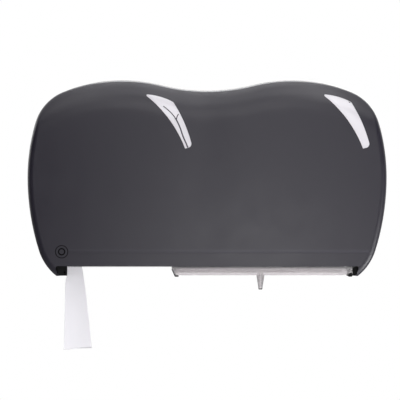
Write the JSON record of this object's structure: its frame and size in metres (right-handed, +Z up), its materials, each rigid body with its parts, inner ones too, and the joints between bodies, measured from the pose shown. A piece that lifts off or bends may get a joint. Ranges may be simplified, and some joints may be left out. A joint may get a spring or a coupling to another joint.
{
  "type": "toilet tissue dispenser",
  "caption": "Wall-mounted twin jumbo roll tissue dispenser with a humped smoke cover, crescent windows, serrated lip, clear sliding shutter and hanging tissue.",
  "frame": {"origin": "middle of the four wall screw holes, on the back face", "axes": "+X right along the width, +Y into the wall, +Z up; the cover's front faces -Y"},
  "size_m": [0.515, 0.1495, 0.3869],
  "materials": {
    "smoke_cover": "fine matte texture",
    "clear_window": "clear, polished",
    "clear_shutter": "smoke tinted, translucent",
    "black_plastic": "satin",
    "white_plastic": "satin",
    "core_board": "bare board",
    "tissue": "soft embossed",
    "lock_metal": "satin",
    "steel": "zinc plated"
  },
  "bodies": {
    "chassis": {"back_plate": "black_plastic", "side_arm_left": "black_plastic", "side_arm_right": "black_plastic", "front_rail": "black_plastic", "rail_screws": "steel", "spindle_left": "black_plastic", "spindle_right": "black_plastic", "spindle_screws": "steel", "hub_cap_left": "black_plastic", "hub_cap_right": "black_plastic", "hinge_pin_left": "steel", "hinge_pin_right": "steel", "lock_strike": "steel", "strike_screws": "steel", "tissue_web": "tissue", "tissue_tail": "tissue"},
    "cover": {"cover_shell": "smoke_cover", "window_left": "clear_window", "window_right": "clear_window", "tear_strip": "smoke_cover", "lock_body": "lock_metal", "lock_nut": "steel"},
    "lock": {"lock_plug": "lock_metal", "lock_cam": "steel", "cam_screw": "steel"},
    "shutter": {"shutter": "clear_shutter", "shutter_end_caps": "black_plastic"},
    "roll_left": {"hub_left": "white_plastic", "core_left": "core_board", "tissue_roll_left": "tissue"},
    "roll_right": {"hub_right": "white_plastic", "core_right": "core_board", "tissue_roll_right": "tissue"}
  },
  "joints": [
    {"name": "cover_hinge", "type": "hinge", "parent": "chassis", "child": "cover", "pos_m": [0, -0.055, -0.134], "axis": [1, 0, 0], "range_deg": [0, 100], "deforming": ["tissue_tail"]},
    {"name": "lock_turn", "type": "hinge", "parent": "cover", "child": "lock", "pos_m": [0, -0.036, 0.11], "axis": [0, 0, -1], "range_deg": [0, 90]},
    {"name": "shutter_slide", "type": "slide", "parent": "chassis", "child": "shutter", "axis": [1, 0, 0], "range_m": [-0.147, 0]},
    {"name": "left_roll_spin", "type": "hinge", "parent": "chassis", "child": "roll_left", "pos_m": [-0.1275, -0.06, 0.008], "axis": [0, 1, 0], "continuous": true},
    {"name": "right_roll_spin", "type": "hinge", "parent": "chassis", "child": "roll_right", "pos_m": [0.1275, -0.06, 0.008], "axis": [0, 1, 0], "continuous": true}
  ]
}
